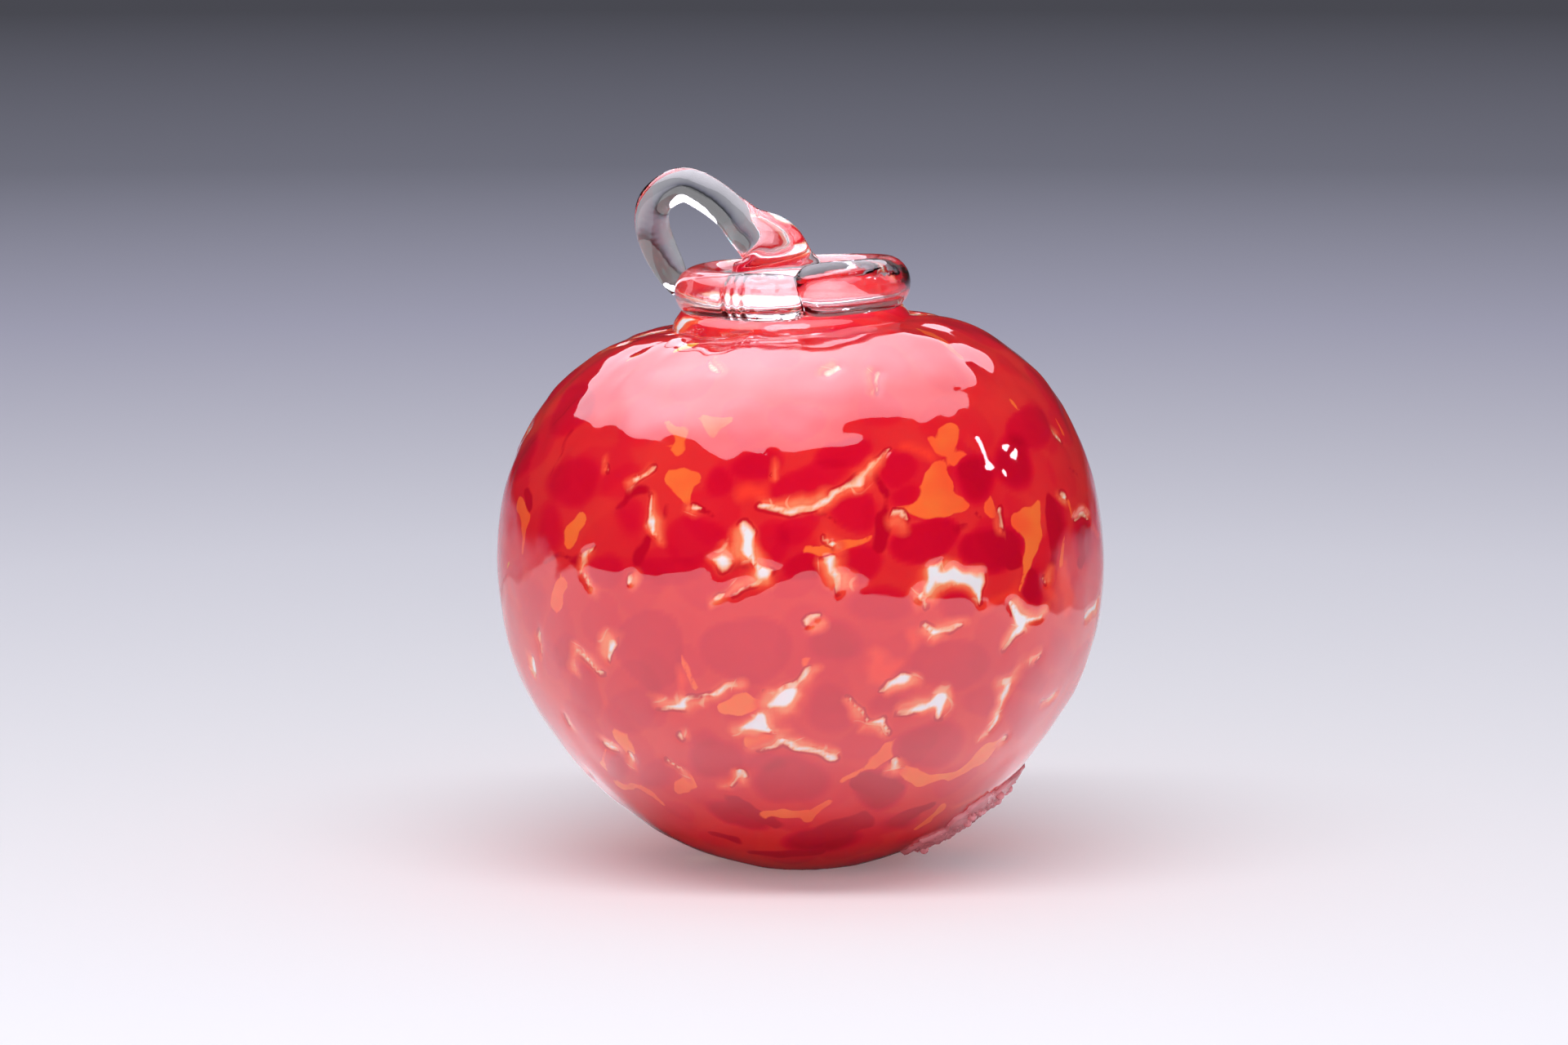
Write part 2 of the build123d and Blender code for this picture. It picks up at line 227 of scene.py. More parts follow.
YELLOW_STROKES = (
    (830, 428, 0.4, 846, 420, 1.1), (840, 424, 0.9, 852, 420, 0.3), (619, 700, 0.1, 621, 690, 0.3),
)
# Dark strokes: deep crimson where chips overlap, and painted shade in the creases beside gaps and in the
# wide strokes along the bottom of the ball
CRIMSON_AND_SHADE_STROKES = (
    (700, 524, 0.3, 669, 583, 0.1), (703, 491, 0.3, 675, 516, 0.3), (642, 552, 0.4, 655, 537, 0.4),
    (750, 627, 0.3, 769, 599, 0.6), (769, 599, 0.6, 789, 602, 0.5), (779, 690, 0.8, 794, 660, 0.6),
    (893, 697, 0.4, 926, 689, 0.7), (664, 684, 0.3, 711, 684, 0.5), (859, 630, 0.5, 870, 635, 0.3),
    (642, 605, 0.9, 644, 620, 1.0), (1070, 582, 0.5, 1090, 602, 0.8), (1088, 608, 0.4, 1083, 640, 0.5),
    (1082, 640, 1.3, 1078, 668, 0.8), (1180, 572, 0.9, 1202, 590, 0.8), (1183, 645, 0.3, 1175, 652, 0.5),
    (1287, 612, 1.1, 1290, 690, 0.7), (1334, 655, 1.3, 1326, 688, 1.0), (1266, 705, 1.0, 1266, 722, 1.2),
    (1240, 665, 1.4, 1246, 685, 1.4), (1310, 570, 0.2, 1325, 585, 0.3), (1196, 628, 0.3, 1202, 636, 0.3),
    (900, 985, 1.2, 950, 1012, 1.0), (870, 1024, 0.7, 905, 1032, 0.9), (990, 1030, 1.8, 1050, 1008, 2.2),
    (1060, 955, 1.8, 1085, 970, 2.4), (1100, 1005, 1.2, 1140, 990, 1.0), (820, 620, 0.3, 806, 640, 0.2),
    (1030, 640, 0.2, 1000, 622, 0.5), (920, 1046, 0.8, 1000, 1046, 1.2),
)

# Round red chips seen in the photograph: pixel, half width and half height in millimetres,
# turn in degrees, depth of red
RED_BLOBS = (
    (1048, 626, 3.2, 3.2, 0, 0.35), (1134, 663, 5.2, 3.0, 20, 0.55), (1216, 673, 4.6, 3.2, 5, 0.6),
    (1053, 690, 3.7, 2.7, 10, 0.4), (986, 694, 3.3, 2.0, 5, 0.4), (1173, 739, 3.0, 2.9, 0, 0.25),
    (1034, 555, 4.3, 2.0, 15, 0.35), (990, 589, 6.6, 2.4, 22, 0.3), (1100, 573, 2.9, 2.6, 30, 0.3),
    (1110, 606, 2.8, 1.6, 25, 0.3), (1197, 584, 3.0, 3.8, 0, 0.7), (1243, 566, 2.8, 4.4, 10, 0.7),
    (1295, 642, 1.5, 4.2, 0, 0.8), (1329, 660, 1.7, 4.0, 5, 0.9), (1268, 722, 1.4, 3.2, 0, 0.6),
    (1262, 523, 3.2, 3.0, 0, 0.4), (770, 630, 2.2, 3.1, 10, 0.25), (850, 662, 4.8, 3.6, 0, 0.3),
    (946, 662, 2.6, 3.2, 10, 0.25), (976, 648, 3.8, 2.2, 30, 0.3), (880, 590, 2.2, 2.4, 0, 0.4),
    (928, 568, 4.2, 2.2, 12, 0.4), (700, 590, 4.4, 3.6, 30, 0.35), (672, 650, 2.0, 4.6, 0, 0.3),
    (740, 700, 3.0, 2.4, 0, 0.3), (795, 795, 4.6, 5.4, 20, 0.3), (915, 797, 6.6, 4.6, 0, 0.3),
    (875, 930, 4.2, 2.9, 5, 0.35), (968, 957, 5.8, 3.6, 0, 0.5), (755, 941, 1.7, 2.2, 0, 0.4),
    (803, 950, 2.8, 2.2, 15, 0.35), (775, 870, 4.2, 3.2, 30, 0.2), (715, 850, 2.2, 4.2, 15, 0.25),
    (1166, 815, 5.8, 3.6, 0, 0.3), (1087, 862, 3.1, 1.7, 10, 0.35), (1141, 914, 5.4, 3.4, 15, 0.45),
    (1077, 968, 3.8, 2.9, 0, 0.7), (1017, 870, 3.4, 3.9, 20, 0.3), (1024, 786, 4.3, 3.1, 0, 0.4),
    (1252, 880, 2.4, 3.6, 20, 0.3), (1262, 830, 2.5, 3.0, 20, 0.3), (1104, 1008, 3.3, 1.4, 12, 0.8),
    (650, 740, 2.0, 4.5, 0, 0.25), (690, 800, 1.8, 3.0, 0, 0.3), (820, 700, 5.0, 2.0, 0, 0.25),
    (1010, 1030, 6.0, 1.8, 5, 0.9), (900, 1000, 5.0, 1.6, -20, 0.7), (640, 560, 1.2, 4.0, -25, 0.5),
    (860, 905, 3.2, 1.6, 0, 0.2), (935, 935, 4.0, 1.6, 0, 0.3), (1205, 860, 3.0, 2.4, 0, 0.25),
    (1300, 800, 2.0, 4.0, 15, 0.3), (1080, 740, 5.0, 2.6, 0, 0.3), (700, 500, 2.4, 4.4, -35, 0.4),
)

# Size of a photo pixel at the ball
MM_PER_PIXEL = 0.107

# Seeded strokes on the far side: number of stars, fewest and most arms, arm length and half width
WINDOW_STARS = (90, (2, 3), 3.0, 0.6)
ORANGE_STARS = (46, (1, 3), 3.0, 1.2)
EMBER_STARS = (30, (1, 2), 3.0, 1.4)
YELLOW_STARS = (4, (1, 1), 2.2, 0.9)
# The seeded dark strokes are deep crimson and painted crease shade, like the listed ones
CRIMSON_AND_SHADE_STARS = (46, (1, 2), 4.0, 0.8)

# Distances within which strokes run together, and the value of a field far from them
GAP_MELT = 0.5
HALO_MELT = 1.2
CHIP_MELT = 0.9
FAR_OUTSIDE = -9.0

# Thin red beside a gap: how far it is moved and widened, in millimetres
HALO_SHIFT = 0.75
HALO_GROW = 0.4

# Cosines of the angles within which strokes and round chips count
NEAR_STROKE = 0.9
NEAR_BLOB = 0.93

# Waves that shake the edges of strokes: height and bump length in millimetres, number
SHAKES = ((0.28, 6.0, 30), (0.12, 2.4, 40))

# Seeded round chips: number, lowest and highest radius in millimetres, slimness and depth of red
BLOBS = 300
BLOB_RADIUS = (2.6, 5.6)
BLOB_SLIM = (1.0, 1.5)
BLOB_RED = (0.1, 0.6)

# Red of the coat, and how strongly round chips add to it and swell; seeded ones are fainter where the
# photograph shows the ball, with a fade by the surface's slant to the camera
COAT_RED = 0.46
SEEN_RED = 1.35
SEEDED_RED = 0.35
SIDE_FADE = (0.05, 0.25)
SEEN_SWELL = 0.09
SEEDED_SWELL = 0.07
SEEDED_COVER = 1.2

# How far gaps, thin red and orange run in over the edge of a round chip, in millimetres
CHIP_OVERLAP = {"window": 0.35, "halo": 0.9, "orange": 0.25}

# Bare white neck under the clear plug: its radius in millimetres and how sharp its edge is
BARE_NECK = 5.5
BARE_EDGE = 0.5

# Relief in millimetres: how deep the surface lies under the outline, and its waves as in SHAKES;
# below the shoulder the quick ones are calmer
RELIEF_SINK = 0.3
SLOW_WAVE = (0.06, 18, 24)
QUICK_WAVES = ((0.075, 9, 40), (0.02, 5, 50))
SHOULDER = (8, 20)
CALM_BELOW = 0.35
GAP_DEEP = 0.2
GAP_SLOPE = (-1.0, 0.4)


def level_axes(out):
    """Two directions along the surface, level and upward, at a direction from the centre."""
    level = np.cross([0.0, 0.0, 1.0], out)
    level = level / max(np.linalg.norm(level), 1e-6)
    return level, np.cross(out, level)


def unseen_direction():
    """Random direction on the part of the ball that the photograph doesn't show."""
    while True:
        out = unit(rng.normal(size=3))
        # Clear of the poles, and behind the edge of what is seen, which comes forward near them
        if abs(out[2]) < 0.97 and out[1] > 0.05 - 0.2 * abs(out[2]):
            return out


def random_star(arms, length, width):
    """Strokes that meet at one place, as arms of a gap or petals of a chip."""
    out = unseen_direction()
    level, up = level_axes(out)
    start = rng.uniform(0, 2 * math.pi)
    strokes = []
    for arm in range(arms):
        bend = start + 2 * math.pi * (arm + rng.uniform(-0.25, 0.25)) / arms
        reach = length * rng.uniform(0.6, 1.4) / BALL_RADIUS
        tip = out + reach * (math.cos(bend) * level + math.sin(bend) * up)
        thick = width * rng.uniform(0.6, 1.3)
        strokes.append((out, thick, unit(tip), thick * rng.uniform(0.15, 0.6)))
    return strokes


def photo_strokes(rows):
    """The rows of one list as directions on the ball and half widths."""
    return [(on_ball(row[0:2]), row[2], on_ball(row[3:5]), row[5]) for row in rows]


def all_strokes(rows, count, arms, length, width):
    """Strokes seen in the photograph, and seeded ones like them on the far side."""
    strokes = photo_strokes(rows)
    for _ in range(count):
        strokes += random_star(int(rng.integers(arms[0], arms[1] + 1)), length, width)
    return strokes


def stroke_field(outs, strokes, melt=GAP_MELT):
    """Distance inside the joined strokes in millimetres, below zero outside them."""
    field = np.full(len(outs), FAR_OUTSIDE)
    for start, start_width, end, end_width in strokes:
        near = np.flatnonzero(outs @ start > NEAR_STROKE)
        points = outs[near]
        run = end - start
        share = np.clip((points - start) @ run / max(run @ run, 1e-9), 0, 1)
        foot = unit(start + share[:, None] * run)
        gap = BALL_RADIUS * np.linalg.norm(points - foot, axis=1)
        inside = start_width + share * (end_width - start_width) - gap
        web = np.maximum(melt - np.abs(field[near] - inside), 0) / melt
        field[near] = np.maximum(field[near], inside) + web * web * melt / 4
    return field


def halo_strokes(strokes):
    """Wider strokes moved to one side, where the red thins out beside a gap."""
    wider = []
    for start, start_width, end, end_width in strokes:
        level, up = level_axes(start)
        bend = rng.uniform(0, 2 * math.pi)
        shift = HALO_SHIFT / BALL_RADIUS * (math.cos(bend) * level + math.sin(bend) * up)
        grow = HALO_GROW * rng.uniform(0.5, 1.4) * min(1.0, 2 * max(start_width, end_width))
        wider.append((start + shift, start_width + grow, end + shift, end_width + grow))
    return wider


def smooth_step(low, high, value):
    """Smooth change from 0 to 1 between two values."""
    share = np.clip((value - low) / (high - low), 0, 1)
    return share * share * (3 - 2 * share)


def spread_directions(count):
    """Directions spread evenly over a ball and then shaken."""
    number = np.arange(count) + 0.5
    height = 1 - 2 * number / count
    bend = math.pi * (1 + math.sqrt(5)) * number
    outs = around(np.sqrt(1 - height * height), bend, height)
    return unit(outs + rng.normal(scale=0.045, size=outs.shape))


def wave(outs, height, length, count):
    """Gentle unevenness of about the given height, with bumps of the given length in millimetres."""
    total = np.zeros(len(outs))
    for _ in range(count):
        way = unit(rng.normal(size=3)) * 2 * math.pi * BALL_RADIUS / length * rng.uniform(0.7, 1.4)
        total += np.sin(outs @ way + rng.uniform(0, 2 * math.pi))
    return height * total / math.sqrt(count / 2)


def shaken(outs):
    """Directions moved a little sideways, so that listed strokes get uneven edges."""
    moved = outs
    for shake in SHAKES:
        moved = moved + np.stack([wave(outs, *shake) for _ in range(3)], axis=1) / BALL_RADIUS
    return unit(moved)


def photo_pixels(points):
    """Where points of the row frame lie in the photograph."""
    ray = points - camera_place
    depth = -(ray @ camera_back)
    across = FOCAL_PIXELS * (ray @ camera_right) / depth
    down = -FOCAL_PIXELS * (ray @ camera_up) / depth
    return TARGET_PIXEL + np.stack([across, down], axis=1)


def seen_blobs(pixels, facing):
    """For each round chip of the photograph: the points near it, its depth in millimetres there, its red."""
    for x, y, wide, tall, turn, red in RED_BLOBS:
        offset = (pixels - np.array([x, y])) * MM_PER_PIXEL
        near = np.flatnonzero(facing & (np.abs(offset).max(axis=1) < wide + tall + 1))
        bend = math.radians(turn)
        along = offset[near, 0] * math.cos(bend) - offset[near, 1] * math.sin(bend)
        across = offset[near, 0] * math.sin(bend) + offset[near, 1] * math.cos(bend)
        ring = np.hypot(along / wide, across / tall)
        wobble = 1 + 0.06 * np.sin(3 * np.arctan2(across, along) + x)
        yield near, (wobble - ring) * min(wide, tall), red


def unseen_blobs(outs):
    """The same for seeded red chips all over the ball."""
    for out in rng.permutation(spread_directions(BLOBS)):
        level, up = level_axes(out)
        bend = rng.uniform(0, math.pi)
        along = math.cos(bend) * level + math.sin(bend) * up
        across = np.cross(out, along)
        near = np.flatnonzero(outs @ out > NEAR_BLOB)
        offset = BALL_RADIUS * (outs[near] - out)
        size = rng.uniform(*BLOB_RADIUS)
        slim = rng.uniform(*BLOB_SLIM)
        spread = np.hypot(offset @ along, slim * (offset @ across))
        wobble = 1 + 0.08 * np.sin(3 * np.arctan2(offset @ across, offset @ along) + bend)
        yield near, size * wobble - spread, rng.uniform(*BLOB_RED)


def blob_fields(outs, points, slopes):
    """Depth of red, the cover by chips that cut gaps and other chips short, and the chips' swell."""
    placed = turned(points, BALL_LEAN) + BALL_CENTRE
    front = ((camera_place - placed) * turned(slopes, BALL_LEAN)).sum(axis=1)
    away = 1 - smooth_step(*SIDE_FADE, front / CAMERA_DISTANCE)
    red = np.full(len(outs), COAT_RED)
    cover = np.full(len(outs), FAR_OUTSIDE)
    swell = np.zeros(len(outs))
    for near, depth, shade in unseen_blobs(outs):
        soft = rng.uniform(0.35, 1.4)
        weight = SEEDED_RED + (1 - SEEDED_RED) * away[near]
        red[near] += weight * shade * smooth_step(0, soft, depth)
        hides = np.where(away[near] > 0.5, depth - SEEDED_COVER, FAR_OUTSIDE)
        cover[near] = np.maximum(cover[near], hides)
        swell[near] += SEEDED_SWELL * smooth_step(-0.5, 2.6, depth) * rng.uniform(0.2, 1.0)
    for near, depth, shade in seen_blobs(photo_pixels(placed), front > 0):
        soft = rng.uniform(0.35, 1.3)
        red[near] += SEEN_RED * shade * smooth_step(0, soft, depth)
        cover[near] = np.maximum(cover[near], depth)
        swell[near] += SEEN_SWELL * smooth_step(-0.5, 2.4, depth) * rng.uniform(0.3, 1.0)
    return red, cover, swell


def new_mesh(name, points, faces, smooth=True):
    """Mesh object from points in millimetres."""
    mesh = bpy.data.meshes.new(name)
    mesh.from_pydata((np.asarray(points) * MM).tolist(), [], [list(face) for face in faces])
    mesh.polygons.foreach_set("use_smooth", [smooth] * len(mesh.polygons))
    mesh.update()
    piece = bpy.data.objects.new(name, mesh)
    bpy.context.scene.collection.objects.link(piece)
    return piece


def grid_faces(rows, columns):
    """Faces of a closed band of rows, each of so many points."""
    faces = []
    for row in range(rows - 1):
        for column in range(columns):
            after = (column + 1) % columns
            low = row * columns
            high = low + columns
            faces.append((low + column, low + after, high + after, high + column))
    return faces


def capped_tube(name, rings):
    """Closed tube through rings of points."""
    rings = np.asarray(rings)
    rows, columns, _ = rings.shape
    points = np.vstack([rings.reshape(-1, 3), rings[0].mean(axis=0), rings[-1].mean(axis=0)])
    faces = grid_faces(rows, columns)
    first = rows * columns
    last = first + 1
    top = (rows - 1) * columns
    for column in range(columns):
        after = (column + 1) % columns
        faces.append((first, after, column))
        faces.append((last, top + column, top + after))
    return new_mesh(name, points, faces)


def ball_surface():
    """Directions, points and outward slopes of the ball's grid, in the ball's own frame."""
    lengths = np.concatenate([[0], np.cumsum(np.linalg.norm(np.diff(OUTLINE, axis=0), axis=1))])
    marks = np.linspace(0.2, lengths[-1] - 0.2, BALL_ROWS)
    reach = np.interp(marks, lengths, OUTLINE[:, 0])[:, None]
    height = np.interp(marks, lengths, OUTLINE[:, 1])[:, None]
    run = unit(np.gradient(np.hstack([reach, height]), axis=0))
    bends = full_turn(BALL_COLUMNS) + math.pi / 2
    points = around(reach, bends, height).reshape(-1, 3)
    slopes = around(run[:, 1:], bends, -run[:, :1]).reshape(-1, 3)
    return unit(points), points, slopes


def make_ball():
    """Coated ball with its chips, gaps and swells, flat where it stands."""
    outs, points, slopes = ball_surface()
    loose = shaken(outs)
    gaps = all_strokes(WINDOW_STROKES, *WINDOW_STARS)
    fields = {
        "window": stroke_field(loose, gaps),
        "halo": stroke_field(loose, halo_strokes(gaps), HALO_MELT),
        "orange": stroke_field(loose, all_strokes(ORANGE_STROKES, *ORANGE_STARS), CHIP_MELT),
        "ember": stroke_field(loose, all_strokes(EMBER_STROKES, *EMBER_STARS), CHIP_MELT),
        "yellow": stroke_field(loose, all_strokes(YELLOW_STROKES, *YELLOW_STARS)),
        # dark: deep crimson, partly painted shade
        "dark": stroke_field(loose, all_strokes(CRIMSON_AND_SHADE_STROKES, *CRIMSON_AND_SHADE_STARS)),
    }
    fields["red"], cover, swell = blob_fields(outs, points, slopes)
    for name, overlap in CHIP_OVERLAP.items():
        fields[name] = np.minimum(fields[name], overlap - cover)
    crown = np.hypot(points[:, 0] - NECK_FOOT[0], points[:, 1])
    crown[points[:, 2] <= 0] = BALL_RADIUS
    fields["window"] = np.maximum(fields["window"], (BARE_NECK - crown) * BARE_EDGE)
    lively = CALM_BELOW + (1 - CALM_BELOW) * smooth_step(*SHOULDER, points[:, 2])
    relief = swell - RELIEF_SINK + wave(outs, *SLOW_WAVE)
    for quick in QUICK_WAVES:
        relief = relief + lively * wave(outs, *quick)
    relief = relief - GAP_DEEP * smooth_step(*GAP_SLOPE, fields["window"])
    shaped = turned(points + relief[:, None] * slopes, BALL_LEAN) + BALL_CENTRE
    shaped[:, 2] = np.maximum(shaped[:, 2], 0)
    faces = grid_faces(BALL_ROWS, BALL_COLUMNS)
    faces.append(tuple(reversed(range(BALL_COLUMNS))))
    faces.append(tuple(range((BALL_ROWS - 1) * BALL_COLUMNS, BALL_ROWS * BALL_COLUMNS)))
    ball = new_mesh("ball", shaped, faces)
    for name, field in fields.items():
        layer = ball.data.attributes.new(name, "FLOAT", "POINT")
        layer.data.foreach_set("value", field.astype(np.float32))
    return ball


# Clear glass at the top: wound rod, in millimetres and degrees, whose end laps over its tucked-in start
WRAP_RADIUS = 15.4
WRAP_DEEP = 6.4
WRAP_TALL = 6.6
WRAP_LEVEL = 3.35
WRAP_START = -79.0
WRAP_SWEEP = 370.0
WRAP_STEPS = 420
WRAP_BLUNT = 34
WRAP_WOBBLE = 0.2
LAP_SPAN = (0.45, 0.95)
LAP_RISE = 0.85
LAP_GROW = 0.7
TUCK_SPAN = (0.0, 0.09)
TUCK_IN = 0.9
TUCK_DOWN = 0.3
WRAP_GROOVES = (-113.0, -118.5, -123.0, -98.0)
WRAP_GROOVE_WIDE = 1.5
WRAP_GROOVE_DEEP = 0.35

# Stem from the plug to its tail: place in the neck's frame, width and depth
STEM_ROWS = (
    (-1.6, 0.0, 3.0, 15.0, 14.0), (-2.2, 0.0, 6.6, 11.4, 9.4), (-2.9, 0.1, 9.3, 8.6, 7.6),
    (-5.5, 0.5, 11.5, 6.0, 6.0), (-7.6, 0.9, 13.6, 4.9, 5.2), (-10.7, 1.6, 16.0, 4.8, 4.9),
    (-13.9, 2.8, 17.2, 4.6, 4.6), (-17.3, 4.0, 15.2, 4.5, 4.5), (-18.0, 5.0, 12.0, 4.6, 4.7),
    (-17.1, 6.1, 8.5, 4.6, 4.7), (-15.5, 7.1, 4.9, 3.9, 3.9), (-14.7, 6.9, 2.6, 2.2, 2.2),
)
STEM_STEPS = 10

# Collar and the plug's dome: distance from the neck's axis and height
COLLAR_ROWS = (
    (14.6, -3.6), (15.6, -1.5), (15.2, -0.3), (14.3, 0.9), (13.8, 2.4), (12.6, 3.6), (9.5, 4.9), (6.0, 6.2),
)
COLLAR_COLUMNS = 90

# Below this height the collar's edge is ragged
COLLAR_EDGE = 1

# Skin of melted glass: mesh size in millimetres and how often it is smoothed
STEM_MELT = (0.24, 14)
WRAP_MELT = (0.18, 5)


def in_neck(points):
    """Points of the neck's frame in the row frame."""
    return turned(np.asarray(points, float), NECK_LEAN) + NECK_FOOT


def spline(rows, steps):
    """Smooth run through rows of numbers."""
    rows = np.asarray(rows, float)
    padded = np.vstack([2 * rows[0] - rows[1], rows, 2 * rows[-1] - rows[-2]])
    out = []
    for number in range(len(rows) - 1):
        before, start, end, after = padded[number:number + 4]
        for share in np.linspace(0, 1, steps, endpoint=False):
            out.append(0.5 * (
                2 * start + (end - before) * share
                + (2 * before - 5 * start + 4 * end - after) * share ** 2
                + (3 * start - before - 3 * end + after) * share ** 3
            ))
    out.append(rows[-1])
    return np.array(out)


def sweep_rings(path, wide, deep, side, columns=40):
    """Oval rings along a path; wide lies across the side direction, deep along it."""
    run = unit(np.gradient(path, axis=0))
    bends = full_turn(columns)[:, None]
    rings = []
    for point, way, width, depth in zip(path, run, wide, deep):
        across = unit(np.cross(side, way))
        along = np.cross(way, across)
        rings.append(point + width / 2 * np.cos(bends) * across + depth / 2 * np.sin(bends) * along)
    return np.array(rings)


def wrap_rings():
    """Rod wound once round the neck, its end lapped over its start at the front."""
    share = np.linspace(0, 1, WRAP_STEPS)
    turn = WRAP_START - WRAP_SWEEP * share
    bend = np.radians(turn)
    ends = np.sqrt(np.clip(1 - (2 * share - 1) ** WRAP_BLUNT, 0.03, 1))
    lap = smooth_step(*LAP_SPAN, share)
    tuck = 1 - smooth_step(*TUCK_SPAN, share)
    reach = WRAP_RADIUS - WRAP_DEEP / 2 + WRAP_WOBBLE * np.sin(3 * bend + 1) - TUCK_IN * tuck
    level = WRAP_LEVEL + LAP_RISE * lap - TUCK_DOWN * tuck
    path = around(reach, bend, level)
    tall = WRAP_TALL + LAP_GROW * lap
    rings = sweep_rings(path, WRAP_DEEP * ends, tall * ends, np.array([0.0, 0.0, 1.0]))
    outward = around(1.0, bend, 0.0)[:, None]
    facing = ((rings - path[:, None]) * outward).sum(axis=2) / (WRAP_DEEP / 2)
    groove = sum(np.exp(-((turn - place) / WRAP_GROOVE_WIDE) ** 2) for place in WRAP_GROOVES)
    dent = WRAP_GROOVE_DEEP * groove[:, None] * np.clip(facing, 0, 1)
    return rings - dent[..., None] * outward


def collar_rings():
    """Skirt of clear glass on the ball's shoulder, closed by the plug's dome."""
    bends = full_turn(COLLAR_COLUMNS)
    ragged = 0.25 * np.sin(2 * bends + 0.6) + 0.15 * np.sin(5 * bends)
    return [around(reach + ragged * (level < COLLAR_EDGE), bends, level) for reach, level in COLLAR_ROWS]


def joined(pieces):
    """Pieces made one object, the first of them."""
    bpy.ops.object.select_all(action="DESELECT")
    for piece in pieces:
        piece.select_set(True)
    bpy.context.view_layer.objects.active = pieces[0]
    bpy.ops.object.join()
    return pieces[0]


def melted(pieces, name, melt):
    """Pieces run together into one skin."""
    whole = joined(pieces)
    whole.name = name
    whole.data.name = name
    remesh = whole.modifiers.new("melt", "REMESH")
    remesh.mode = "VOXEL"
    remesh.voxel_size = melt[0] * MM
    remesh.use_smooth_shade = True
    relax = whole.modifiers.new("flow", "SMOOTH")
    relax.iterations = melt[1]
    relax.factor = 0.5
    return whole


def make_cap():
    """Stem with its plug and the collar as one run of clear glass, and the rod wound round them."""
    rows = spline(STEM_ROWS, STEM_STEPS)
    stem = sweep_rings(rows[:, :3], rows[:, 3], rows[:, 4], np.array([0.0, 1.0, 0.0]))
    inner = melted([
        capped_tube("stem", in_neck(stem)),
        capped_tube("collar", in_neck(collar_rings())),
    ], "clear_stem", STEM_MELT)
    outer = melted([capped_tube("rod", in_neck(wrap_rings()))], "clear_wrap", WRAP_MELT)
    return inner, outer


# Rough mark where the working iron was broken off: angles from the right and from the level, millimetres
MARK_AZIMUTH = math.radians(-14.0)
MARK_HEIGHT = math.radians(-60.0)
MARK_RADIUS = 10.6
MARK_THICK = 0.75
MARK_RINGS = 22
MARK_COLUMNS = 120
MARK_ROOT = -0.5
MARK_BEADS = 40
BEAD_RADIUS = (0.25, 0.7)
BEAD_SPREAD = (0.3, 0.78)
BEAD_RISE = 1.45
MARK_OUT = around(math.cos(MARK_HEIGHT), MARK_AZIMUTH, math.sin(MARK_HEIGHT))


def on_mark(spread, bends, thick):
    """Points of the mark so far from its middle and above the ball's surface, in the row frame."""
    level, up = level_axes(MARK_OUT)
    way = np.cos(bends)[..., None] * level + np.sin(bends)[..., None] * up
    outs = unit(MARK_OUT + spread[..., None] / BALL_RADIUS * way)
    reach = reach_at(np.arcsin(outs[..., 2])) + thick
    points = turned(outs * reach[..., None], BALL_LEAN) + BALL_CENTRE
    points[..., 2] = np.maximum(points[..., 2], 0)
    return points


def bead_rings(middle, size):
    """Small round bead."""
    rises = np.linspace(-BEAD_RISE, BEAD_RISE, 9)[:, None]
    return middle + size * around(np.cos(rises), full_turn(14), np.sin(rises))


def make_mark():
    """Crumbled patch of clear glass on the ball's lower side, with small beads."""
    bends = -full_turn(MARK_COLUMNS)
    ragged = 0.07 * np.sin(5 * bends + 1) + 0.05 * np.sin(11 * bends) + 0.03 * rng.normal(size=MARK_COLUMNS)
    edge = MARK_RADIUS * (0.86 + ragged)
    rings = []
    for ring in range(MARK_RINGS + 1):
        share = min(ring, MARK_RINGS - 1) / (MARK_RINGS - 1)
        crumbs = 0.15 + 0.85 * rng.random(MARK_COLUMNS) ** 1.5
        thick = MARK_THICK * crumbs * (1 - 0.8 * share ** 4)
        # The last ring goes down into the ball
        if ring == MARK_RINGS:
            thick = np.full(MARK_COLUMNS, MARK_ROOT)
            share = 1.05
        rings.append(on_mark((0.03 + 0.97 * share) * edge, bends, thick))
    pieces = [capped_tube("rough_mark", rings)]
    for number in range(MARK_BEADS):
        size = rng.uniform(*BEAD_RADIUS)
        spread = np.array(MARK_RADIUS * rng.uniform(*BEAD_SPREAD))
        middle = on_mark(spread, np.array(rng.uniform(0, 2 * math.pi)), np.array(0.15 + 0.4 * size))
        middle[2] = max(middle[2], size)
        pieces.append(capped_tube("bead_%d" % number, bead_rings(middle, size)))
    return joined(pieces)


# Materials


